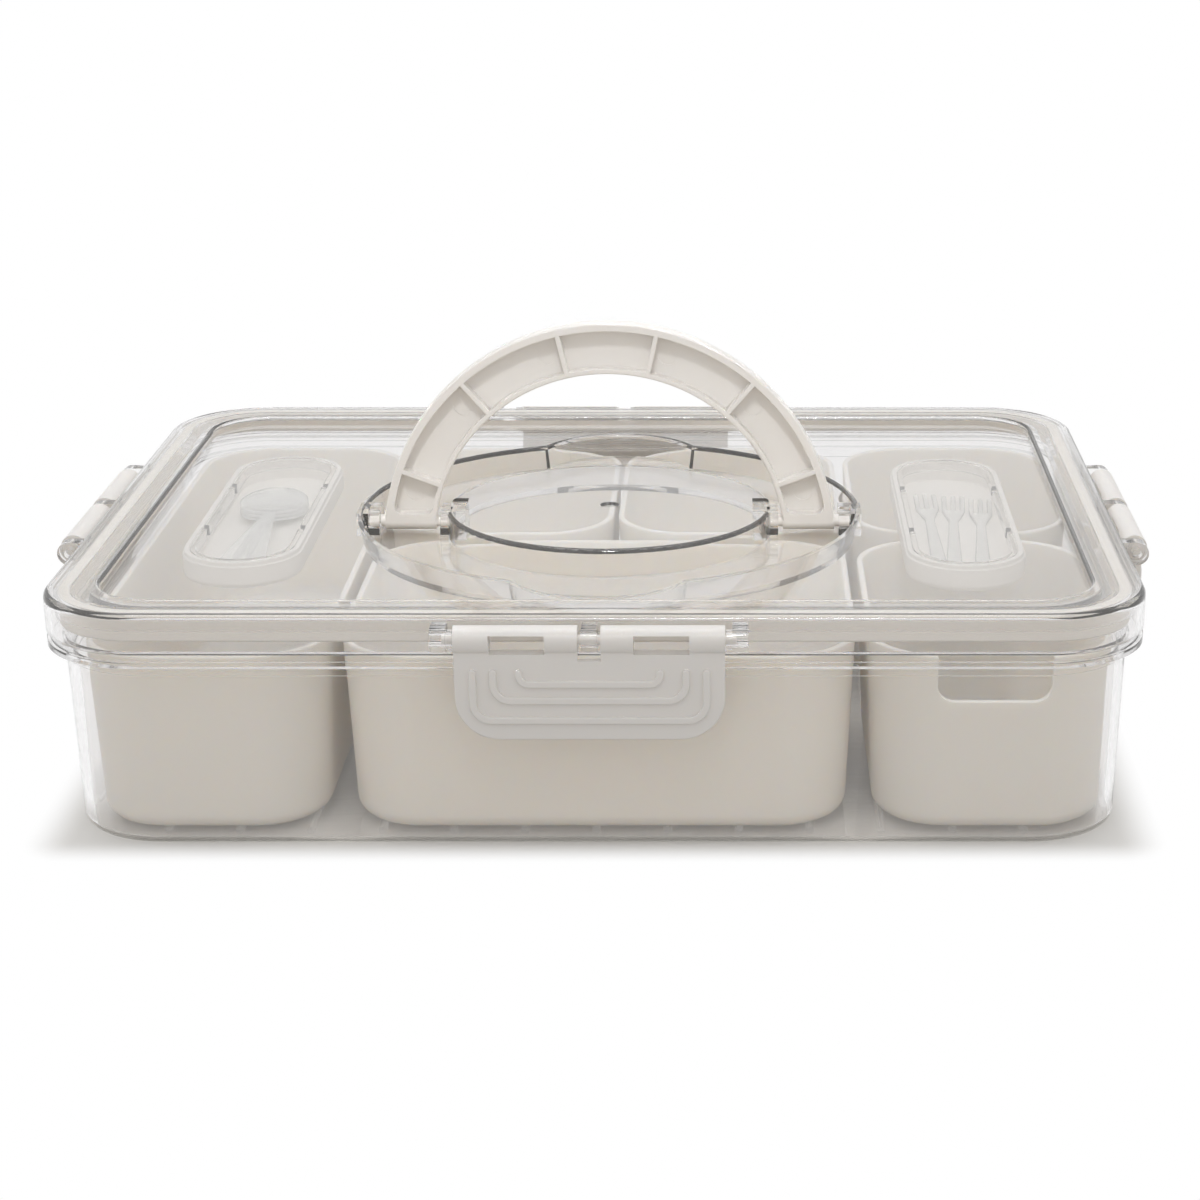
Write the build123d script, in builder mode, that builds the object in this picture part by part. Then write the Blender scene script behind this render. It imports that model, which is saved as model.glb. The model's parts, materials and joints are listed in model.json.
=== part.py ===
# Divided grazing box: a clear tub with loose inner boxes, a clear lid held by four snap latches,
# an arch handle that folds into a round well in the lid, and two clip-on trays of small cutlery.
# Millimetres. The origin is the centre of the tub's foot. +X is the long side, +Y the back, +Z up.
import os
from math import sqrt

from build123d import *

os.makedirs("parts", exist_ok=True)

# Lid outline and heights
lid_width = 325.0
lid_depth = 241.0
lid_corner = 31.0
lid_top = 73.5
lid_wall = 2.0
skirt_height = 11.5
rim_width = 15.5
rim_round = 2.2
recess_corner = 18.5
step_wall = 3.2
panel_drop = 3.5
panel_wall = 2.0

# Sealing ring and the two low ribs that hold it under the rim
seal_inset = 4.2
seal_width = 3.5
seal_height = 7.2
seal_rib = 1.2
seal_rib_height = 3.6
seal_fit = 0.1
seal_press = 0.1

# Tub
collar_inset = 5.1
collar_wall = 2.0
body_inset = 4.7
body_corner = 29.0
band_step = 0.8
band_bottom = 53.8
tub_wall = 2.4
tub_floor = 1.8
tub_draft = 1.6
tub_foot_round = 2.7
flange_inset = 0.2
flange_step = 1.1
flange_height = 3.8
flange_lower = 2.0
skirt_gap = 0.9
floor_rib_radius = 1.2
floor_rib_pitch = 21.2
floor_rib_count = 13
floor_rib_length = 215.0

# Loose inner boxes
box_rim = 58.9
box_seat_gap = 0.05
box_wall = 2.0
box_floor = 1.8
box_draft = 2.5
box_corner = 23.0
box_foot_round = 5.0
box_rim_round = 0.7
centre_box_width = 152.0
box_side_clearance = 3.2
box_end_clearance = 2.4
side_gap = 3.2
half_gap = 7.0
twin_gap = 1.6
boxes_right = 1.0
boxes_forward = 1.5
notch_share = 0.455
notch_depth = 14.6
notch_corner = 5.0

# Well in the lid for the folded handle, with its island and finger pockets
well_radius = 80.8
well_draft_in = 2.0
well_floor = 62.2
well_wall = 1.8
well_edge_round = 0.7
island_half_width = 53.2
island_rise = 0.8
island_round = 1.5
dimple_radius = 4.2
dimple_depth = 0.8
pocket_radius = 28.5
pocket_offset = 64.5
pocket_draft_in = 1.6

# Handle
arch_centre = 57.8
arch_outer = 74.3
arch_inner = 57.6
handle_thickness = 5.8
handle_floor_gap = 0.3
handle_web = 1.6
handle_outer_flange = 2.6
handle_inner_flange = 1.7
handle_rib = 1.5
handle_edge_round = 0.6
rib_angles = (12.8, 41.0, 69.7)
end_block_top = 68.4
pocket_round = 2.5
mark_radius = 3.2
mark_depth = 0.4
mark_angles = (17.2, 45.6, 74.6)
island_gap = 0.4
stud_radius = 2.0
stud_gap = 0.08
stud_length = 4.9
socket_clear = 0.4
socket_neck = 3.2

# Handle sockets, as blocks on the island and on the well's wall
inner_ear_face = 55.4
inner_ear_length = 8.4
inner_ear_width = 12.0
outer_ear_face = 75.2
outer_ear_width = 13.0
ear_top = 69.6
ear_notch = 1.5

# Snap latches and their lugs
latch_width = 77.0
latch_axis_out = 4.6
latch_axis_height = 68.0
barrel_radius = 4.1
flap_bottom = 38.5
flap_thickness = 2.2
flap_inner = 5.0
flap_corner = 12.75
flap_edge_round = 0.5
latch_slot = 6.6
latch_slot_drop = 5.7
window_width = 15.8
window_centre = 20.5
window_rise = 2.2
window_height = 5.9
u_ribs = ((33.2, 5.0, 5.3), (27.4, 11.0, 5.0), (20.1, 16.0, 3.0))
u_rib_top = 21.5
u_rib_width = 2.1
u_rib_height = 0.9
hook_width = 60.0
hook_height = 1.7
hook_drop = 0.4
hook_gap = 0.3
lug_width = 4.5
lug_radius = 3.7
lug_spacing = 42.8
lug_root = 1.2
collar_radius = 2.9
latch_play = 0.3
hinge_stud_radius = 1.42
hinge_stud_gap = 0.08
hinge_stud_reach = 3.2

# Utensil trays under the lid's panel
tray_centre = 113.5
tray_places = ((-1, "left", 3.0), (1, "right", 0.0))
tray_ring_width = 32.6
tray_ring_length = 119.0
tray_ring_wall = 1.6
tray_ring_height = 3.4
tray_ring_notch = 4.0
tray_ring_notch_place = 24.0
tray_fit = 0.25
tray_wall = 2.2
tray_lip_wall = 1.6
tray_lip_height = 1.4
tray_bottom = 59.3
tray_floor = 1.3
tray_foot_round = 2.2
tray_seat_gap = 0.05
tab_gap = 0.3

# Small cutlery
cutlery_lift = 0.05
fork_length = 75.0
fork_head = 7.8
fork_thickness = 1.2
fork_tine_length = 17.0
fork_tine_gap = 1.4
fork_shoulder = 12.0
fork_neck = 3.0
fork_handle = 5.0
fork_places = ((-7.4, 0.5, -0.5), (-0.2, -2.0, -4.2), (8.6, -5.5, -4.4))
spoon_bowl_width = 22.5
spoon_bowl_length = 28.0
spoon_bowl_radius = 50.0
spoon_thickness = 0.95
spoon_layer = 1.3
spoon_bowl_place = 17.0
spoon_length = 81.0
spoon_root = 0.4
spoon_neck = 4.0
spoon_shoulder = 5.0
spoon_handle = 6.2
spoon_fans = (-4.5, 0.0, 4.5)

# Heights, sizes and places that follow from the values above
skirt_bottom = lid_top - skirt_height
panel_top = lid_top - panel_drop
panel_under = panel_top - panel_wall
recess_width = lid_width - 2 * rim_width
recess_depth = lid_depth - 2 * rim_width
flange_top = skirt_bottom - skirt_gap
flange_bottom = flange_top - flange_height
seal_top = lid_top - lid_wall
seal_bottom = seal_top - seal_height
collar_top = seal_bottom - seal_press
body_width = lid_width - 2 * body_inset
body_depth = lid_depth - 2 * body_inset
boxes_width = body_width - 2 * tub_wall - 2 * box_side_clearance
box_depth = body_depth - 2 * tub_wall - 2 * box_end_clearance
side_box_width = (boxes_width - centre_box_width) / 2 - side_gap
box_foot = tub_floor + floor_rib_radius + box_seat_gap
island_top = panel_top + island_rise
pivot_height = well_floor + handle_floor_gap + handle_thickness / 2
pivot_over_arch = pivot_height - arch_centre
island_half_depth = arch_inner - pivot_over_arch - island_gap
stud_inner_face = sqrt(arch_inner**2 - pivot_over_arch**2)
stud_outer_face = sqrt(arch_outer**2 - pivot_over_arch**2)
flap_outer = flap_inner + flap_thickness
window_top = latch_axis_height + window_rise
hook_tip = hook_gap - flange_inset
tray_inside = tray_bottom + tray_floor

side_places = (
    ("front", Location((0, -lid_depth / 2, 0), (0, 0, 0))),
    ("right", Location((lid_width / 2, 0, 0), (0, 0, 90))),
    ("back", Location((0, lid_depth / 2, 0), (0, 0, 180))),
    ("left", Location((-lid_width / 2, 0, 0), (0, 0, 270))),
)


def save(part, name):
    part.label = name
    export_step(part, f"parts/{name}.step")
    print(f"{name}: {part.volume / 1000:.2f} cm3")


def drafted_block(width, depth, corner, top, bottom, draft, foot_round, centre=(0.0, 0.0)):
    # A rounded block that narrows towards its foot, with a rounded edge round the foot
    mouth = Plane(origin=(centre[0], centre[1], top), x_dir=(1, 0, 0), z_dir=(0, 0, -1))
    with BuildPart() as block:
        with BuildSketch(mouth):
            RectangleRounded(width, depth, corner)
        extrude(amount=top - bottom, taper=draft)
        fillet(block.faces().sort_by(Axis.Z)[0].edges(), radius=foot_round)
    return block.part


def outline_ring(outer_inset, inner_inset):
    # A band that follows the lid's outline, between two insets
    RectangleRounded(lid_width - 2 * outer_inset, lid_depth - 2 * outer_inset, lid_corner - outer_inset)
    RectangleRounded(
        lid_width - 2 * inner_inset,
        lid_depth - 2 * inner_inset,
        lid_corner - inner_inset,
        mode=Mode.SUBTRACT,
    )


# Tub: drafted body with a band under its stepped flange, a collar that reaches up into the lid,
# and ribs on the floor
collar_width = lid_width - 2 * collar_inset
collar_depth = lid_depth - 2 * collar_inset
collar_corner = lid_corner - collar_inset

tub_body = drafted_block(
    body_width, body_depth, body_corner, band_bottom, 0, tub_draft, tub_foot_round
)
tub_hollow = drafted_block(
    body_width - 2 * tub_wall,
    body_depth - 2 * tub_wall,
    body_corner - tub_wall,
    flange_bottom,
    tub_floor,
    tub_draft,
    tub_foot_round - tub_wall,
)

with BuildPart() as tub:
    add(tub_body)
    with BuildSketch(Plane.XY.offset(band_bottom)):
        RectangleRounded(
            body_width + 2 * band_step, body_depth + 2 * band_step, body_corner + band_step
        )
    extrude(amount=flange_bottom - band_bottom)
    with BuildSketch(Plane.XY.offset(flange_bottom)):
        RectangleRounded(collar_width, collar_depth, collar_corner)
    extrude(amount=collar_top - flange_bottom)
    with BuildSketch(Plane.XY.offset(flange_bottom)):
        RectangleRounded(
            lid_width - 2 * flange_inset, lid_depth - 2 * flange_inset, lid_corner - flange_inset
        )
    extrude(amount=flange_lower)
    with BuildSketch(Plane.XY.offset(flange_bottom + flange_lower)):
        RectangleRounded(
            lid_width - 2 * flange_inset - 2 * flange_step,
            lid_depth - 2 * flange_inset - 2 * flange_step,
            lid_corner - flange_inset - flange_step,
        )
    extrude(amount=flange_height - flange_lower)
    with BuildSketch(Plane.XY.offset(flange_bottom)):
        RectangleRounded(
            collar_width - 2 * collar_wall, collar_depth - 2 * collar_wall, collar_corner - collar_wall
        )
    extrude(amount=collar_top - flange_bottom, mode=Mode.SUBTRACT)
    add(tub_hollow, mode=Mode.SUBTRACT)
    rib_plane = Plane.XZ.offset(-floor_rib_length / 2)
    with BuildSketch(rib_plane):
        with Locations((0, tub_floor)):
            with GridLocations(floor_rib_pitch, 0, floor_rib_count, 1):
                Circle(floor_rib_radius)
        with Locations((0, tub_floor)):
            Rectangle(
                lid_width, floor_rib_radius, align=(Align.CENTER, Align.MAX), mode=Mode.SUBTRACT
            )
    extrude(amount=floor_rib_length)
save(tub.part, "tub")


# Loose inner boxes: thin drafted cups with a rounded rim, some with a finger notch in the front wall
def make_box(name, x_low, x_high, y_low, y_high, notched=False):
    width = x_high - x_low
    depth = y_high - y_low
    centre = ((x_low + x_high) / 2, (y_low + y_high) / 2)
    outside = drafted_block(
        width, depth, box_corner, box_rim, box_foot, box_draft, box_foot_round, centre
    )
    inside = drafted_block(
        width - 2 * box_wall,
        depth - 2 * box_wall,
        box_corner - box_wall,
        box_rim,
        box_foot + box_floor,
        box_draft,
        box_foot_round - box_wall,
        centre,
    )
    notch_width = notch_share * width
    with BuildPart() as box:
        add(outside)
        add(inside, mode=Mode.SUBTRACT)
        if notched:
            with BuildSketch(Plane.XZ.offset(-y_low)) as notch:
                with Locations((centre[0], box_rim)):
                    Rectangle(notch_width, 2 * notch_depth)
                fillet(notch.vertices().group_by(Axis.Y)[0], radius=notch_corner)
            extrude(amount=box_corner, both=True, mode=Mode.SUBTRACT)
        rim_faces = box.faces().filter_by(Axis.Z).group_by(Axis.Z)[-1]
        fillet(rim_faces.edges(), radius=box_rim_round)
    save(box.part, name)


# The boxes lie a little to the right and to the front of the tub's middle
centre_left = boxes_right - centre_box_width / 2
centre_right = boxes_right + centre_box_width / 2
twin_left = boxes_right - twin_gap / 2
twin_right = boxes_right + twin_gap / 2
right_inner = centre_right + side_gap
right_outer = right_inner + side_box_width
left_inner = centre_left - side_gap
left_outer = left_inner - side_box_width
box_front = -box_depth / 2 - boxes_forward
box_back = box_depth / 2 - boxes_forward
half_front = -half_gap / 2 - boxes_forward
half_back = half_gap / 2 - boxes_forward

make_box("box_left", left_outer, left_inner, box_front, box_back)
make_box("box_centre_front", centre_left, centre_right, box_front, half_front, notched=True)
make_box("box_centre_back_left", centre_left, twin_left, half_back, box_back)
make_box("box_centre_back_right", twin_right, centre_right, half_back, box_back)
make_box("box_right_front", right_inner, right_outer, box_front, half_front, notched=True)
make_box("box_right_back", right_inner, right_outer, half_back, box_back, notched=True)

# Sealing ring under the lid's rim
with BuildPart() as gasket:
    with BuildSketch(Plane.XY.offset(seal_bottom)):
        outline_ring(seal_inset, seal_inset + seal_width)
    extrude(amount=seal_height)
save(gasket.part, "gasket")

# Lugs for one latch, drawn at the lid's edge with the outside towards -Y
with BuildPart() as lugs:
    for lug_x in (-lug_spacing, 0, lug_spacing):
        with BuildSketch(Plane.YZ.offset(lug_x - lug_width / 2)):
            with Locations((-latch_axis_out, latch_axis_height)):
                Circle(lug_radius)
                Rectangle(latch_axis_out + lug_root, 2 * lug_radius, align=(Align.MIN, Align.CENTER))
        extrude(amount=lug_width)
    latch_end = latch_width / 2 + latch_play
    collar_length = lug_spacing - lug_width / 2 - latch_end
    for collar_start in (latch_end, -latch_end - collar_length):
        with BuildSketch(Plane.YZ.offset(collar_start)):
            with Locations((-latch_axis_out, latch_axis_height)):
                Circle(collar_radius)
        extrude(amount=collar_length)
    with BuildSketch(Plane.YZ.offset(-lid_depth / 2)):
        with Locations((-latch_axis_out, latch_axis_height)):
            Circle(hinge_stud_radius + hinge_stud_gap)
    extrude(amount=lid_depth, mode=Mode.SUBTRACT)

# Island of the handle well: an ellipse that leaves room for the folded handle all round
with BuildPart() as island:
    with BuildSketch(Plane.XY.offset(well_floor - well_wall)):
        Ellipse(island_half_width, island_half_depth)
    extrude(amount=island_top - well_floor + well_wall)
    fillet(island.faces().sort_by(Axis.Z)[-1].edges(), radius=island_round)
    with Locations((0, 0, island_top)):
        Cone(
            dimple_radius / 2, dimple_radius, 2 * dimple_depth,
            align=(Align.CENTER, Align.CENTER, Align.CENTER), mode=Mode.SUBTRACT,
        )

with BuildPart() as island_hollow:
    with BuildSketch(Plane.XY.offset(well_floor - well_wall)):
        Ellipse(island_half_width - well_wall, island_half_depth - well_wall)
    extrude(amount=island_top - well_floor)


def well_cups(grow, bottom):
    # The well and its two finger pockets, each a little narrower at the floor
    height = panel_top - bottom
    cup_align = (Align.CENTER, Align.CENTER, Align.MIN)
    with Locations((0, 0, bottom)):
        Cone(well_radius - well_draft_in + grow, well_radius + grow, height, align=cup_align)
    with Locations((0, -pocket_offset, bottom), (0, pocket_offset, bottom)):
        Cone(pocket_radius - pocket_draft_in + grow, pocket_radius + grow, height, align=cup_align)


with BuildPart() as well_space:
    well_cups(0, well_floor)

# Lid: rim, skirt, seal ribs, panel, handle well, sockets, tray rings and latch lugs
with BuildPart() as lid:
    with BuildSketch(Plane.XY.offset(skirt_bottom)):
        RectangleRounded(lid_width, lid_depth, lid_corner)
    extrude(amount=skirt_height)
    fillet(lid.faces().sort_by(Axis.Z)[-1].edges(), radius=rim_round)
    with BuildSketch(Plane.XY.offset(skirt_bottom)):
        RectangleRounded(lid_width - 2 * lid_wall, lid_depth - 2 * lid_wall, lid_corner - lid_wall)
    extrude(amount=skirt_height - lid_wall, mode=Mode.SUBTRACT)
    with BuildSketch(Plane.XY.offset(seal_top - seal_rib_height)):
        outline_ring(seal_inset - seal_fit - seal_rib, seal_inset - seal_fit)
        seal_back = seal_inset + seal_width + seal_fit
    extrude(amount=seal_rib_height)
    with BuildSketch(Plane.XY.offset(seal_top - seal_rib_height)):
        outline_ring(seal_back, seal_back + seal_rib)
    extrude(amount=seal_rib_height)
    with BuildSketch(Plane.XY.offset(panel_under)):
        RectangleRounded(
            recess_width + 2 * step_wall, recess_depth + 2 * step_wall, recess_corner + step_wall
        )
    extrude(amount=lid_top - lid_wall - panel_under)
    with BuildSketch(Plane.XY.offset(panel_top)):
        RectangleRounded(recess_width, recess_depth, recess_corner)
    extrude(amount=panel_drop, mode=Mode.SUBTRACT)
    well_cups(well_wall, well_floor - well_wall)
    add(well_space.part, mode=Mode.SUBTRACT)
    mouth_edges = lid.edges().filter_by_position(Axis.Z, panel_top, panel_top)
    mouth_arcs = mouth_edges.filter_by(GeomType.CIRCLE).filter_by(lambda arc: arc.radius > recess_corner)
    fillet(mouth_arcs, radius=well_edge_round)
    add(island.part)
    add(island_hollow.part, mode=Mode.SUBTRACT)
    for side in (-1, 1):
        inner_centre = side * (inner_ear_face - inner_ear_length / 2)
        ear_height = ear_top - well_floor + well_wall
        with Locations((inner_centre, 0, well_floor - well_wall)):
            Box(
                inner_ear_length, inner_ear_width, ear_height,
                align=(Align.CENTER, Align.CENTER, Align.MIN),
            )
        with Locations((inner_centre, 0, ear_top)):
            Box(
                inner_ear_length, inner_ear_width + 2 * ear_notch, island_rise + panel_drop,
                align=(Align.CENTER, Align.CENTER, Align.MIN), mode=Mode.SUBTRACT,
            )
        outer_length = well_radius + well_wall - outer_ear_face
        outer_centre = side * (outer_ear_face + outer_length / 2)
        with Locations((outer_centre, 0, well_floor - well_wall)):
            Box(
                outer_length, outer_ear_width, ear_height,
                align=(Align.CENTER, Align.CENTER, Align.MIN),
            )
        inner_socket_depth = inner_ear_face - stud_inner_face + stud_length + socket_clear
        outer_socket_depth = stud_outer_face + stud_length + socket_clear - outer_ear_face
        for face, depth, away in (
            (inner_ear_face, inner_socket_depth, -1),
            (outer_ear_face, outer_socket_depth, 1),
        ):
            socket_centre = side * (face + away * depth / 2)
            with Locations(Location((socket_centre, 0, pivot_height), (0, 90, 0))):
                Cylinder(stud_radius + stud_gap, depth, mode=Mode.SUBTRACT)
            with Locations((socket_centre, 0, pivot_height)):
                Box(
                    depth, socket_neck, panel_drop + ear_top - pivot_height,
                    align=(Align.CENTER, Align.CENTER, Align.MIN), mode=Mode.SUBTRACT,
                )
    for side, _, tray_y in tray_places:
        with BuildSketch(Plane.XY.offset(panel_under - tray_ring_height)):
            with Locations((side * tray_centre, tray_y)):
                SlotOverall(tray_ring_length, tray_ring_width, rotation=90)
                SlotOverall(
                    tray_ring_length - 2 * tray_ring_wall,
                    tray_ring_width - 2 * tray_ring_wall,
                    rotation=90,
                    mode=Mode.SUBTRACT,
                )
            for place in (-tray_ring_notch_place, tray_ring_notch_place):
                with Locations((side * tray_centre, tray_y + place)):
                    Rectangle(2 * tray_ring_width, tray_ring_notch, mode=Mode.SUBTRACT)
        extrude(amount=tray_ring_height)
    for _, place in side_places:
        with Locations(place):
            add(lugs.part)
save(lid.part, "lid")

# Handle: an arch with an open channel in its front face, cross ribs and moulded pivot studs
with BuildPart() as handle:
    with BuildSketch(Plane.XY.offset(arch_centre)):
        with Locations(((arch_outer + arch_inner) / 2, 0)):
            RectangleRounded(arch_outer - arch_inner, handle_thickness, handle_edge_round)
    revolve(axis=Axis((0, 0, arch_centre), (0, 1, 0)))
    with Locations((0, 0, pivot_height)):
        Box(
            4 * arch_outer, 2 * handle_thickness, 4 * arch_outer,
            align=(Align.CENTER, Align.CENTER, Align.MAX), mode=Mode.SUBTRACT,
        )
    with BuildSketch(Plane.XZ.offset(handle_web - handle_thickness / 2)) as channel:
        with Locations((0, arch_centre)):
            Circle(arch_outer - handle_outer_flange)
            Circle(arch_inner + handle_inner_flange, mode=Mode.SUBTRACT)
        with Locations((0, end_block_top)):
            Rectangle(
                2 * lid_width, 2 * arch_outer, align=(Align.CENTER, Align.MAX), mode=Mode.SUBTRACT
            )
        for angle in rib_angles:
            for side in (-1, 1):
                with Locations(Location((0, arch_centre), side * angle)):
                    Rectangle(
                        handle_rib, arch_outer, align=(Align.CENTER, Align.MIN), mode=Mode.SUBTRACT
                    )
        fillet(channel.vertices().group_by(Axis.Y)[0], radius=pocket_round)
    extrude(amount=handle_thickness - handle_web, mode=Mode.SUBTRACT)
    web_face = Plane.XZ.offset(handle_web - handle_thickness / 2 - mark_depth)
    with BuildSketch(web_face):
        for angle in mark_angles:
            for side in (-1, 1):
                with Locations(Location((0, arch_centre), side * angle)):
                    with Locations((0, (arch_outer + arch_inner) / 2)):
                        Circle(mark_radius)
    extrude(amount=mark_depth, mode=Mode.SUBTRACT)
    for side in (-1, 1):
        leg_centre = side * (stud_inner_face + stud_outer_face) / 2
        leg_width = stud_outer_face - stud_inner_face
        with Locations(Location((leg_centre, 0, pivot_height), (0, 90, 0))):
            Cylinder(handle_thickness / 2, leg_width)
            Cylinder(stud_radius, leg_width + 2 * stud_length)
save(handle.part, "handle")

# Snap latch, drawn at the lid's edge with the outside towards -Y
with BuildPart() as latch_form:
    with BuildSketch(Plane.XZ.offset(flap_inner)) as flap:
        with Locations((0, latch_axis_height)):
            Rectangle(
                latch_width, latch_axis_height - flap_bottom, align=(Align.CENTER, Align.MAX)
            )
        fillet(flap.vertices().group_by(Axis.Y)[0], radius=flap_corner)
    extrude(amount=flap_thickness)
    fillet(latch_form.faces().sort_by(Axis.Y)[0].edges().group_by(Axis.Z)[0], radius=flap_edge_round)
    with BuildSketch(Plane.YZ.offset(-latch_width / 2)):
        with Locations((-latch_axis_out, latch_axis_height)):
            Circle(barrel_radius)
    extrude(amount=latch_width)
    with BuildSketch(Plane.XZ.offset(flap_outer)):
        for leg, rise, bend in u_ribs:
            rib_low = flap_bottom + rise + u_rib_width / 2
            rib_high = flap_bottom + u_rib_top - u_rib_width / 2
            with BuildLine():
                FilletPolyline(
                    (-leg, rib_high), (-leg, rib_low), (leg, rib_low), (leg, rib_high), radius=bend
                )
            trace(line_width=u_rib_width)
            with Locations((-leg, rib_high), (leg, rib_high)):
                Circle(u_rib_width / 2)
    extrude(amount=u_rib_height)
    hook_top = flange_bottom - hook_drop
    with Locations((0, -hook_tip, hook_top)):
        Box(
            hook_width, flap_inner - hook_tip, hook_height,
            align=(Align.CENTER, Align.MAX, Align.MAX),
        )
    with Locations((0, -latch_axis_out, latch_axis_height - latch_slot_drop)):
        Box(
            latch_slot, 4 * barrel_radius, 4 * barrel_radius,
            align=(Align.CENTER, Align.CENTER, Align.MIN), mode=Mode.SUBTRACT,
        )
    with Locations(
        (-window_centre, -latch_axis_out, window_top), (window_centre, -latch_axis_out, window_top)
    ):
        Box(
            window_width, 4 * barrel_radius, window_height,
            align=(Align.CENTER, Align.CENTER, Align.MAX), mode=Mode.SUBTRACT,
        )
    with Locations(Location((0, -latch_axis_out, latch_axis_height), (0, 90, 0))):
        Cylinder(hinge_stud_radius, latch_slot)
    for side in (-1, 1):
        stud_centre = side * (latch_width + hinge_stud_reach) / 2
        with Locations(Location((stud_centre, -latch_axis_out, latch_axis_height), (0, 90, 0))):
            Cylinder(hinge_stud_radius, hinge_stud_reach)

for side_name, place in side_places:
    with BuildPart() as latch:
        with Locations(place):
            add(latch_form.part)
    save(latch.part, f"latch_{side_name}")

# Utensil trays: oblong cups that clip round the rings under the lid's panel
tray_space_width = tray_ring_width + 2 * tray_fit
tray_space_length = tray_ring_length + 2 * tray_fit
tray_top = panel_under - tray_seat_gap
for side, side_name, tray_y in tray_places:
    with BuildPart() as tray:
        with BuildSketch(Plane.XY.offset(tray_bottom)):
            with Locations((side * tray_centre, tray_y)):
                SlotOverall(
                    tray_space_length + 2 * tray_wall, tray_space_width + 2 * tray_wall, rotation=90
                )
        extrude(amount=tray_top - tray_lip_height - tray_bottom)
        fillet(tray.faces().sort_by(Axis.Z)[0].edges(), radius=tray_foot_round)
        with BuildSketch(Plane.XY.offset(tray_top - tray_lip_height)):
            with Locations((side * tray_centre, tray_y)):
                SlotOverall(
                    tray_space_length + 2 * tray_lip_wall,
                    tray_space_width + 2 * tray_lip_wall,
                    rotation=90,
                )
        extrude(amount=tray_lip_height)
        with BuildSketch(Plane.XY.offset(tray_inside)):
            with Locations((side * tray_centre, tray_y)):
                SlotOverall(tray_space_length, tray_space_width, rotation=90)
        extrude(amount=tray_top - tray_inside, mode=Mode.SUBTRACT)
        tab_reach = tray_fit + tray_ring_wall / 2
        tab_x = (tray_space_width - tab_reach) / 2
        for tab_side in (-1, 1):
            for place in (tray_y - tray_ring_notch_place, tray_y + tray_ring_notch_place):
                tab_spot = (side * tray_centre + tab_side * tab_x, place, panel_under - tray_ring_height)
                with Locations(tab_spot):
                    Box(
                        tab_reach, tray_ring_notch - 2 * tab_gap, tray_ring_height / 2,
                        align=(Align.CENTER, Align.CENTER, Align.MIN),
                    )
    save(tray.part, f"utensil_tray_{side_name}")

# Forks, side by side in the right tray
cutlery_base = tray_inside + cutlery_lift
fork_tip = fork_length / 2
fork_slot_place = (fork_head + fork_tine_gap) / 6
for number, (fork_x, fork_y, fork_turn) in enumerate(fork_places, start=1):
    fork_plane = Plane(Location((tray_centre + fork_x, fork_y, cutlery_base), (0, 0, fork_turn)))
    with BuildPart() as fork:
        with BuildSketch(fork_plane):
            with BuildLine():
                right_edge = Polyline(
                    (0, -fork_tip),
                    (fork_handle / 2, -fork_tip),
                    (fork_neck / 2, fork_tip - fork_tine_length - fork_shoulder),
                    (fork_head / 2, fork_tip - fork_tine_length),
                    (fork_head / 2, fork_tip),
                    (0, fork_tip),
                )
                mirror(right_edge, about=Plane.YZ)
            make_face()
            with Locations((-fork_slot_place, fork_tip), (fork_slot_place, fork_tip)):
                Rectangle(fork_tine_gap, 2 * fork_tine_length, mode=Mode.SUBTRACT)
        extrude(amount=fork_thickness)
    save(fork.part, f"fork_{number}")

# Spoons, nested in the left tray with their handles fanned out
bowl_tip = spoon_bowl_length / 2
bowl_sag = spoon_bowl_radius - sqrt(spoon_bowl_radius**2 - bowl_tip**2)
for number, spoon_turn in enumerate(spoon_fans, start=1):
    spoon_base = cutlery_base + (number - 1) * spoon_layer
    spoon_plane = Plane(Location((-tray_centre, spoon_bowl_place, spoon_base), (0, 0, spoon_turn)))
    ball_centre = (-tray_centre, spoon_bowl_place, spoon_base + spoon_bowl_radius)
    with BuildPart() as spoon:
        with BuildSketch(spoon_plane):
            Ellipse(spoon_bowl_width / 2, bowl_tip)
        extrude(amount=bowl_sag + spoon_thickness)
        with Locations(ball_centre):
            Sphere(spoon_bowl_radius, mode=Mode.INTERSECT)
            Sphere(spoon_bowl_radius - spoon_thickness, mode=Mode.SUBTRACT)
        with BuildSketch(spoon_plane.offset(bowl_sag)):
            with BuildLine():
                handle_edge = Polyline(
                    (0, spoon_root - bowl_tip),
                    (spoon_neck / 2, spoon_root - bowl_tip),
                    (spoon_neck / 2, -bowl_tip - spoon_shoulder),
                    (spoon_handle / 2, bowl_tip - spoon_length),
                    (0, bowl_tip - spoon_length),
                )
                mirror(handle_edge, about=Plane.YZ)
            make_face()
        extrude(amount=spoon_thickness)
    save(spoon.part, f"spoon_{number}")
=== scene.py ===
import json
from math import radians

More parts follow.
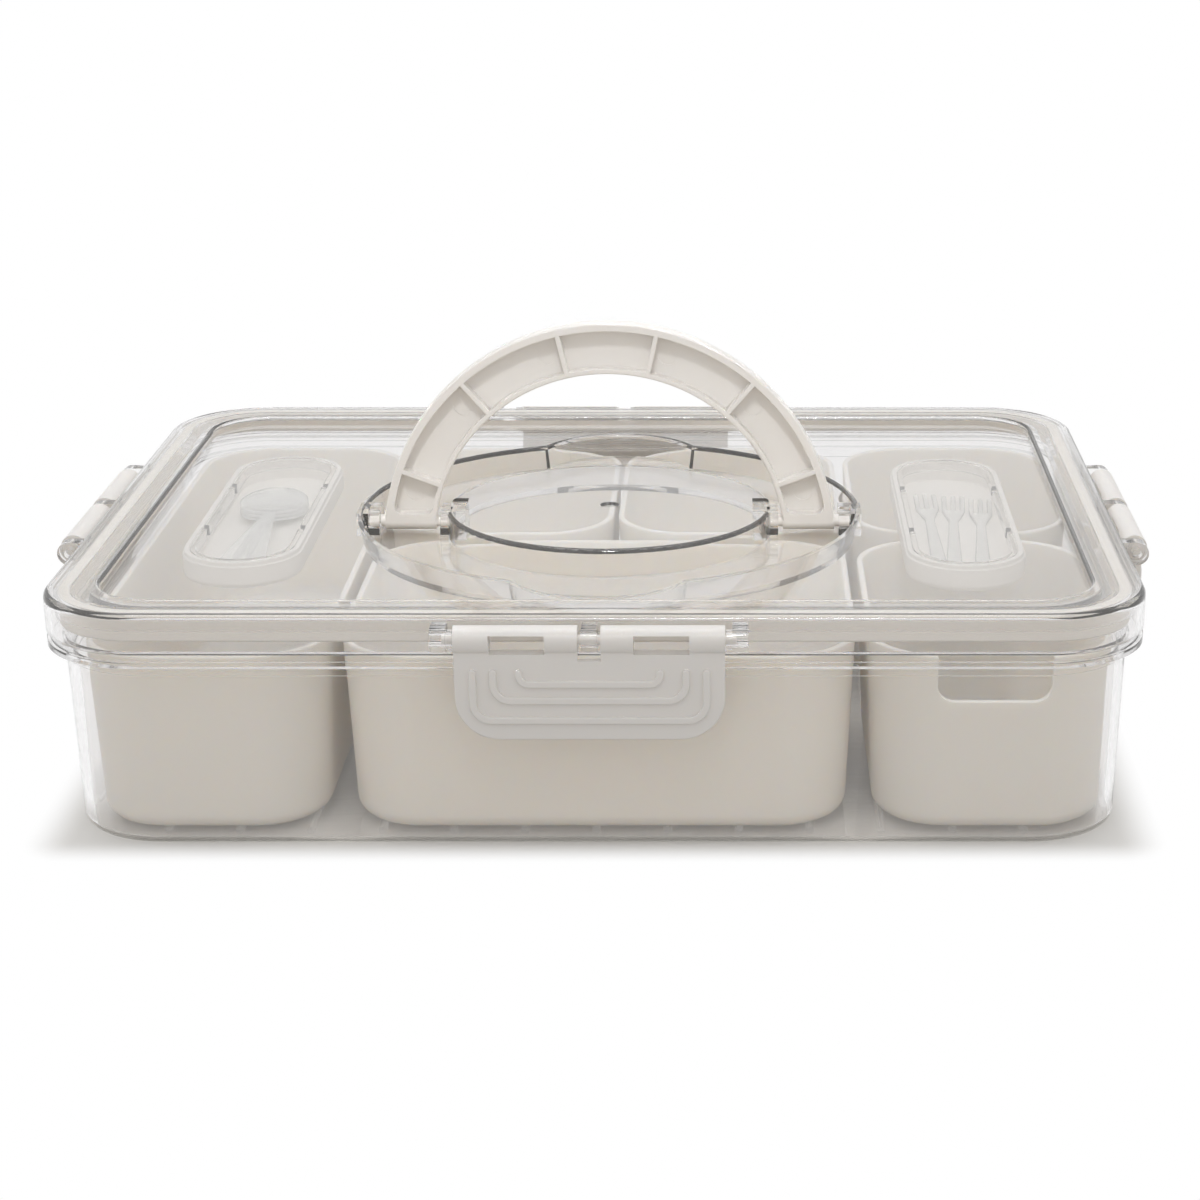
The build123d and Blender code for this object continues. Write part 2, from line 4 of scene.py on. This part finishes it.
import bmesh
import bpy
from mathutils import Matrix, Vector


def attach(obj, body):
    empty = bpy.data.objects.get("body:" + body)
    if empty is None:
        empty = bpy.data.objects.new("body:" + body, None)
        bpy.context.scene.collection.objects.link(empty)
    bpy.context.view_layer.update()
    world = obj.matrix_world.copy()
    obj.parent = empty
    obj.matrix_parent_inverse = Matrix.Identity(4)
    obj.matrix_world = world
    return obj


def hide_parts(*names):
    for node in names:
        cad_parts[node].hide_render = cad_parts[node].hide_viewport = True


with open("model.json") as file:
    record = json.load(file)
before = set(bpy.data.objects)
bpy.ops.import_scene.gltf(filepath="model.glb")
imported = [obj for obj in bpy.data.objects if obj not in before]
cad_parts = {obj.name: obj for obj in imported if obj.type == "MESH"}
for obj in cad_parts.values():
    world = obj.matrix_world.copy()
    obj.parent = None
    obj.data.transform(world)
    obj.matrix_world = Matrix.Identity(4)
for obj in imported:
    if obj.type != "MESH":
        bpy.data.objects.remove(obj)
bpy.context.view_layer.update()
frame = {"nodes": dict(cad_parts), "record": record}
nodes = frame["nodes"]
print("frame loaded:", len(nodes), "nodes")


# Shader maths: a wrapped socket adds a Math node for each operation on it
class Value:
    def __init__(self, shader, socket):
        self.shader = shader
        self.socket = socket

    def math(self, operation, a, b=0.0):
        node = self.shader.node("ShaderNodeMath", {"operation": operation}, {0: a, 1: b})
        return Value(self.shader, node.outputs[0])

    def __add__(self, other):
        return self.math("ADD", self, other)

    def __radd__(self, other):
        return self.math("ADD", other, self)

    def __sub__(self, other):
        return self.math("SUBTRACT", self, other)

    def __rsub__(self, other):
        return self.math("SUBTRACT", other, self)

    def __mul__(self, other):
        return self.math("MULTIPLY", self, other)

    def __rmul__(self, other):
        return self.math("MULTIPLY", other, self)

    def power(self, other):
        return self.math("POWER", self, other)

    def higher(self, other):
        return self.math("MAXIMUM", self, other)

    def size(self):
        return self.math("ABSOLUTE", self)

    def ramp(self, low, high):
        # 0 below low, 1 above high, and a soft step between them
        step = self.shader.node(
            "ShaderNodeMapRange", {"interpolation_type": "SMOOTHSTEP"}, {0: self, 1: low, 2: high}
        )
        return Value(self.shader, step.outputs[0])


class Shader:
    def __init__(self, owner, output="ShaderNodeOutputMaterial"):
        self.owner = owner
        owner.use_nodes = True
        self.tree = owner.node_tree
        self.tree.nodes.clear()
        self.output = self.node(output)

    def node(self, kind, settings=None, inputs=None):
        # settings come first, because they decide which sockets a node has
        made = self.tree.nodes.new(kind)
        for key, value in (settings or {}).items():
            setattr(made, key, value)
        for key, value in (inputs or {}).items():
            source = value.socket if isinstance(value, Value) else value
            if isinstance(source, bpy.types.NodeSocket):
                self.tree.links.new(source, made.inputs[key])
            else:
                made.inputs[key].default_value = source
        return made

    def value(self, node, output=0):
        return Value(self, node.outputs[output])

    def place(self):
        return self.node("ShaderNodeTexCoord").outputs["Object"]

    def noise(self, scale, detail=2.0):
        cloud = self.node(
            "ShaderNodeTexNoise", None, {"Vector": self.place(), "Scale": scale, "Detail": detail}
        )
        return self.value(cloud)

    def colours(self, factor, low, high):
        # sockets 6 and 7 are the two colours, and output 2 is the mixed one
        mix = self.node(
            "ShaderNodeMix",
            {"data_type": "RGBA"},
            {"Factor": factor, 6: (*low, 1.0), 7: (*high, 1.0)},
        )
        return mix.outputs[2]

    def bump(self, height, strength, distance):
        made = self.node(
            "ShaderNodeBump", None, {"Height": height, "Strength": strength, "Distance": distance}
        )
        return made.outputs[0]

    def either(self, factor, first, second):
        return self.node(
            "ShaderNodeMixShader", None, {0: factor, 1: first.outputs[0], 2: second.outputs[0]}
        )

    def letLightIn(self, body, colour, softLight):
        # Lamp light, and soft light if asked, goes straight through in this colour
        through = self.node("ShaderNodeBsdfTransparent", None, {"Color": (*colour, 1.0)})
        path = self.node("ShaderNodeLightPath")
        light = self.value(path, "Is Shadow Ray")
        if softLight:
            light = light.higher(self.value(path, "Is Diffuse Ray"))
        return self.either(light, body, through)

    def surface(self, body):
        self.tree.links.new(body.outputs[0], self.output.inputs["Surface"])
        return self.owner


clear = {
    "tint": (0.965, 0.96, 0.962),
    "through": (0.98, 0.975, 0.965),
    "ior": 1.52,
    "roughness": 0.004,
    "hazeScale": 140.0,
    "hazeRoughness": 0.006,
    "clearness": 0.97,
}


def clearPlastic():
    # Polished clear plastic: glass for the eye, and clear for light, which reaches what is inside
    shader = Shader(bpy.data.materials.new("clearPlastic"))
    haze = shader.noise(clear["hazeScale"], 3.0)
    glass = shader.node(
        "ShaderNodeBsdfPrincipled",
        None,
        {
            "Base Color": (*clear["tint"], 1.0),
            "Roughness": haze * clear["hazeRoughness"] + clear["roughness"],
            "IOR": clear["ior"],
            "Transmission Weight": clear["clearness"],
        },
    )
    return shader.surface(shader.letLightIn(glass, clear["through"], True))


# Each moulded white: its colours, its roughness, the depth of its grain and how far light soaks in
whites = {
    "boxWhite": {
        "low": (0.83, 0.793, 0.748),
        "high": (0.86, 0.823, 0.778),
        "roughness": 0.42,
        "grain": 0.00002,
        "glow": 0.6,
    },
    "archWhite": {
        "low": (0.89, 0.865, 0.835),
        "high": (0.92, 0.895, 0.865),
        "roughness": 0.36,
        "grain": 0.00002,
        "glow": 0.05,
    },
    "trimWhite": {
        "low": (0.81, 0.785, 0.76),
        "high": (0.84, 0.815, 0.79),
        "roughness": 0.34,
        "grain": 0.00002,
        "glow": 0.12,
    },
    "sealSilicone": {
        "low": (0.89, 0.855, 0.81),
        "high": (0.92, 0.885, 0.84),
        "roughness": 0.5,
        "grain": 0.00003,
        "glow": 0.12,
    },
}
moulding = {
    "cloudScale": 9.0,
    "satinScale": 35.0,
    "satinSwing": 0.12,
    "grainScale": 900.0,
    "grainStrength": 0.2,
    "ior": 1.49,
    "soakDepth": 0.006,
    "soakColour": (1.0, 0.78, 0.55),
}


def mouldedWhite(name):
    # Moulded plastic: a faint cloud in the colour, satin grain, and a little light inside it
    white = whites[name]
    shader = Shader(bpy.data.materials.new(name))
    cloud = shader.noise(moulding["cloudScale"], 3.0)
    fine = shader.noise(moulding["grainScale"])
    satin = shader.noise(moulding["satinScale"])
    swing = moulding["satinSwing"]
    body = shader.node(
        "ShaderNodeBsdfPrincipled",
        None,
        {
            "Base Color": shader.colours(cloud, white["low"], white["high"]),
            "Roughness": satin * swing + (white["roughness"] - swing / 2),
            "IOR": moulding["ior"],
            "Subsurface Weight": white["glow"],
            "Subsurface Scale": moulding["soakDepth"],
            "Subsurface Radius": moulding["soakColour"],
            "Normal": shader.bump(fine, moulding["grainStrength"], white["grain"]),
        },
    )
    return shader.surface(body)


frosted = {
    "low": (0.9, 0.88, 0.85),
    "high": (0.93, 0.91, 0.88),
    "through": (0.6, 0.59, 0.57),
    "roughness": 0.4,
    "cloudScale": 25.0,
    "cloudRoughness": 0.1,
    "ior": 1.5,
    "clearness": 0.25,
    "grainScale": 700.0,
    "grainStrength": 0.35,
    "grain": 0.00006,
}


def frostedPlastic():
    # Frosted plastic: blurs what is behind it and scatters some light
    shader = Shader(bpy.data.materials.new("frostedPlastic"))
    fine = shader.noise(frosted["grainScale"], 3.0)
    cloud = shader.noise(frosted["cloudScale"])
    body = shader.node(
        "ShaderNodeBsdfPrincipled",
        None,
        {
            "Base Color": shader.colours(cloud, frosted["low"], frosted["high"]),
            "Roughness": cloud * frosted["cloudRoughness"] + frosted["roughness"],
            "IOR": frosted["ior"],
            "Transmission Weight": frosted["clearness"],
            "Normal": shader.bump(fine, frosted["grainStrength"], frosted["grain"]),
        },
    )
    return shader.surface(shader.letLightIn(body, frosted["through"], False))


cutlery = {
    "low": (0.94, 0.94, 0.935),
    "high": (0.97, 0.97, 0.965),
    "through": (0.86, 0.86, 0.85),
    "roughness": 0.08,
    "flowScale": 160.0,
    "flowRoughness": 0.08,
    "flowStrength": 0.25,
    "flowDepth": 0.0002,
    "ior": 1.45,
    "clearness": 0.82,
}


def cutleryPlastic():
    # Smoky clear plastic with soft moulding waves
    shader = Shader(bpy.data.materials.new("cutleryPlastic"))
    flow = shader.noise(cutlery["flowScale"])
    body = shader.node(
        "ShaderNodeBsdfPrincipled",
        None,
        {
            "Base Color": shader.colours(flow, cutlery["low"], cutlery["high"]),
            "Roughness": flow * cutlery["flowRoughness"] + cutlery["roughness"],
            "IOR": cutlery["ior"],
            "Transmission Weight": cutlery["clearness"],
            "Normal": shader.bump(flow, cutlery["flowStrength"], cutlery["flowDepth"]),
        },
    )
    return shader.surface(shader.letLightIn(body, cutlery["through"], True))


materials = {
    "clear": clearPlastic(),
    "box": mouldedWhite("boxWhite"),
    "arch": mouldedWhite("archWhite"),
    "trim": mouldedWhite("trimWhite"),
    "seal": mouldedWhite("sealSilicone"),
    "frosted": frostedPlastic(),
    "cutlery": cutleryPlastic(),
}
print("materials made:", len(materials))

# How each node's copy is finished: its material, and the width of its rounded edges in metres.
# Where a piece has a ridge, only the edges in that plane are rounded: the mouth of the lid's
# recess, the front of the handle and the tops of the latches' ribs
finishes = {
    "tub": {"material": "clear", "edge": 0.0004},
    "box_left": {"material": "box", "edge": 0.0},
    "box_centre_front": {"material": "box", "edge": 0.0},
    "box_centre_back_left": {"material": "box", "edge": 0.0},
    "box_centre_back_right": {"material": "box", "edge": 0.0},
    "box_right_front": {"material": "box", "edge": 0.0},
    "box_right_back": {"material": "box", "edge": 0.0},
    "lid": {
        "material": "clear",
        "edge": 0.0011,
        "ridge": {"axis": 2, "at": 0.0735, "halfWidth": 0.1475, "halfDepth": 0.1055},
    },
    "gasket": {"material": "seal", "edge": 0.0006},
    "handle": {"material": "arch", "edge": 0.0004, "ridge": {"axis": 1, "at": -0.0029}},
    "latch_front": {"material": "trim", "edge": 0.0004, "ridge": {"axis": 1, "at": -0.1286}},
    "latch_back": {"material": "trim", "edge": 0.0004, "ridge": {"axis": 1, "at": 0.1286}},
    "latch_left": {"material": "trim", "edge": 0.0004, "ridge": {"axis": 0, "at": -0.1706}},
    "latch_right": {"material": "trim", "edge": 0.0004, "ridge": {"axis": 0, "at": 0.1706}},
    "utensil_tray_left": {"material": "frosted", "edge": 0.00025},
    "utensil_tray_right": {"material": "frosted", "edge": 0.00025},
    "spoon_1": {"material": "cutlery", "edge": 0.0002},
    "spoon_2": {"material": "cutlery", "edge": 0.0002},
    "spoon_3": {"material": "cutlery", "edge": 0.0002},
    "fork_1": {"material": "cutlery", "edge": 0.0003},
    "fork_2": {"material": "cutlery", "edge": 0.0003},
    "fork_3": {"material": "cutlery", "edge": 0.0003},
}
meshCare = {
    "mergeWithin": 2e-6,
    "flatWithin": radians(0.3),
    "smoothBelow": radians(28),
    "roundAbove": radians(35),
    "wholePiece": 1.0,  # wider than the box, for a ridge that isn't limited
}
bodies = frame["record"]["behaviour"]["bodies"]
bodyOf = {node: body for body, members in bodies.items() for node in members}


def onRidge(edge, ridge):
    return all(
        abs(corner.co[ridge["axis"]] - ridge["at"]) < meshCare["mergeWithin"]
        and abs(corner.co.x) < ridge.get("halfWidth", meshCare["wholePiece"])
        and abs(corner.co.y) < ridge.get("halfDepth", meshCare["wholePiece"])
        for corner in edge.verts
    )


def dress(name, finish):
    # A merged copy of the node with smooth shading and small rounded edges
    mesh = nodes[name].data.copy()
    work = bmesh.new()
    work.from_mesh(mesh)
    bmesh.ops.remove_doubles(work, verts=work.verts, dist=meshCare["mergeWithin"])
    bmesh.ops.dissolve_limit(
        work,
        angle_limit=meshCare["flatWithin"],
        verts=work.verts,
        edges=work.edges,
        delimit={"NORMAL"},
    )
    for face in work.faces:
        face.smooth = True
    for edge in work.edges:
        edge.smooth = edge.calc_face_angle(0.0) < meshCare["smoothBelow"]
    ridge = finish.get("ridge")
    if ridge:
        weight = work.edges.layers.float.new("bevel_weight_edge")
        for edge in work.edges:
            edge[weight] = float(not edge.smooth and onRidge(edge, ridge))
    work.to_mesh(mesh)
    work.free()
    mesh.materials.clear()
    mesh.materials.append(materials[finish["material"]])
    piece = bpy.data.objects.new(name + "_skin", mesh)
    bpy.context.scene.collection.objects.link(piece)
    if finish["edge"] > 0:
        rounding = piece.modifiers.new("edges", "BEVEL")
        rounding.width = finish["edge"]
        rounding.segments = 4 if ridge else 2
        rounding.limit_method = "WEIGHT" if ridge else "ANGLE"
        rounding.angle_limit = meshCare["roundAbove"]
    settle = piece.modifiers.new("flatFaces", "WEIGHTED_NORMAL")
    settle.weight = 100
    settle.keep_sharp = True
    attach(piece, bodyOf[name])
    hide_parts(name)
    return piece


for nodeName in sorted(nodes):
    dress(nodeName, finishes[nodeName])
print("nodes dressed")

# How bright the dark side low in front is for gloss and glass, which draws the dark lines along
# the clear edges
darkSide = 0.5
floorForm = {
    "halfWidth": 6.0,
    "front": -0.5,
    "back": 3.0,
    "colour": (0.85, 0.845, 0.835),
    "bounce": (0.45, 0.445, 0.435),  # what soft light on the box sees
    "roughness": 0.7,
    "foot": (0.154, 0.112),  # half the width and half the depth of the tub's foot
    "shade": 0.016,  # how far the shade and the shadow show round the foot
    "darkFrom": -0.32,
    "darkTo": -0.13,
}


def paleFloor():
    # White to the eye, with its own shade and the shadow close to the box, and darker in front
    # for gloss and glass
    shader = Shader(bpy.data.materials.new("paleFloor"))
    where = shader.node("ShaderNodeSeparateXYZ", None, {0: shader.place()})
    across = (shader.value(where, 0).size() - floorForm["foot"][0]).higher(0.0)
    along = (shader.value(where, 1).size() - floorForm["foot"][1]).higher(0.0)
    away = (across * across + along * along).power(0.5)
    path = shader.node("ShaderNodeLightPath")
    body = shader.node(
        "ShaderNodeBsdfPrincipled",
        None,
        {
            "Base Color": shader.colours(
                path.outputs["Is Diffuse Ray"], floorForm["colour"], floorForm["bounce"]
            ),
            "Roughness": floorForm["roughness"],
        },
    )
    straight = shader.value(path, "Is Camera Ray")
    bent = shader.value(path, "Is Glossy Ray").higher(shader.value(path, "Is Transmission Ray"))
    bright = straight.higher(
        shader.value(where, 1).ramp(floorForm["darkFrom"], floorForm["darkTo"])
    )
    glow = shader.node(
        "ShaderNodeEmission",
        None,
        {"Color": shader.colours(bright, (darkSide,) * 3, (1.0, 1.0, 1.0))},
    )
    white = straight.higher(bent) * away.ramp(0.0, floorForm["shade"])
    return shader.surface(shader.either(white, body, glow))


wide, near, far = floorForm["halfWidth"], floorForm["front"], floorForm["back"]
floorMesh = bpy.data.meshes.new("floor")
floorMesh.from_pydata(
    [(-wide, near, 0.0), (wide, near, 0.0), (wide, far, 0.0), (-wide, far, 0.0)],
    [],
    [(0, 1, 2, 3)],
)
floorMesh.materials.append(paleFloor())
floor = bpy.data.objects.new("floor", floorMesh)
bpy.context.scene.collection.objects.link(floor)

roomForm = {
    "skyLight": 0.76,
    "sideColour": (0.98, 0.94, 0.89),
    "sideTop": 0.7,  # the height, from 0 to 1, where the light from above is white
    "gloss": 0.8,
    "frontFrom": -0.35,
    "frontTo": 0.1,
    "lowFrom": 0.1,
    "lowTo": 0.5,
}


def studioRoom(world):
    # White to the eye, soft white light from above and warmer light from the sides, and a dark
    # side low in front for gloss and glass
    room = Shader(world, "ShaderNodeOutputWorld")
    way = room.node(
        "ShaderNodeSeparateXYZ", None, {0: room.node("ShaderNodeTexCoord").outputs["Generated"]}
    )
    backward = room.value(way, 1)
    upward = room.value(way, 2)
    path = room.node("ShaderNodeLightPath")
    warmth = upward.ramp(0.0, roomForm["sideTop"])
    light = room.node(
        "ShaderNodeBackground",
        None,
        {
            "Color": room.colours(warmth, roomForm["sideColour"], (1.0, 1.0, 1.0)),
            "Strength": roomForm["skyLight"],
        },
    )
    bright = backward.ramp(roomForm["frontFrom"], roomForm["frontTo"]).higher(
        upward.ramp(roomForm["lowFrom"], roomForm["lowTo"])
    )
    mirrored = room.node(
        "ShaderNodeBackground",
        None,
        {
            "Color": room.colours(bright, (darkSide,) * 3, (1.0, 1.0, 1.0)),
            "Strength": roomForm["gloss"],
        },
    )
    white = room.node("ShaderNodeBackground", None, {"Color": (1.0, 1.0, 1.0, 1.0)})
    bent = room.value(path, "Is Glossy Ray").higher(room.value(path, "Is Transmission Ray"))
    unseen = room.either(bent, light, mirrored)
    return room.surface(room.either(path.outputs["Is Camera Ray"], unseen, white))


bpy.context.scene.world = studioRoom(bpy.data.worlds.new("studio"))

lamps = {
    "topLamp": {
        "place": (0.0, 0.15, 1.25),
        "target": (0.0, 0.0, 0.05),
        "width": 0.9,
        "height": 0.6,
        "energy": 3.6,
        "spread": 180,
    },
    "frontLamp": {
        "place": (0.0, -0.57, 0.85),
        "target": (0.0, -0.02, 0.1),
        "width": 0.3,
        "height": 0.16,
        "energy": 0.042,
        "spread": 10,
    },
}


def softLamp(name, form):
    lamp = bpy.data.lights.new(name, "AREA")
    lamp.shape = "RECTANGLE"
    lamp.size = form["width"]
    lamp.size_y = form["height"]
    lamp.energy = form["energy"]
    lamp.spread = radians(form["spread"])
    made = bpy.data.objects.new(name, lamp)
    made.location = form["place"]
    aim = Vector(form["target"]) - Vector(form["place"])
    made.rotation_euler = aim.to_track_quat("-Z", "Y").to_euler()
    bpy.context.scene.collection.objects.link(made)


for lampName, lampForm in lamps.items():
    softLamp(lampName, lampForm)

photoView = {
    "place": (0.04142, -0.80629, 0.30962),
    "downward": 18.64,
    "lens": 76.59,
    "sensor": 36.0,
    "shiftX": -0.1129,
}
camera = bpy.data.cameras.new("camera")
camera.sensor_width = photoView["sensor"]
camera.lens = photoView["lens"]
camera.shift_x = photoView["shiftX"]
view = bpy.data.objects.new("camera", camera)
view.location = photoView["place"]
view.rotation_euler = (radians(90 - photoView["downward"]), 0, 0)
bpy.context.scene.collection.objects.link(view)
bpy.context.scene.camera = view
bpy.context.scene.view_settings.view_transform = "Standard"
print("studio set")
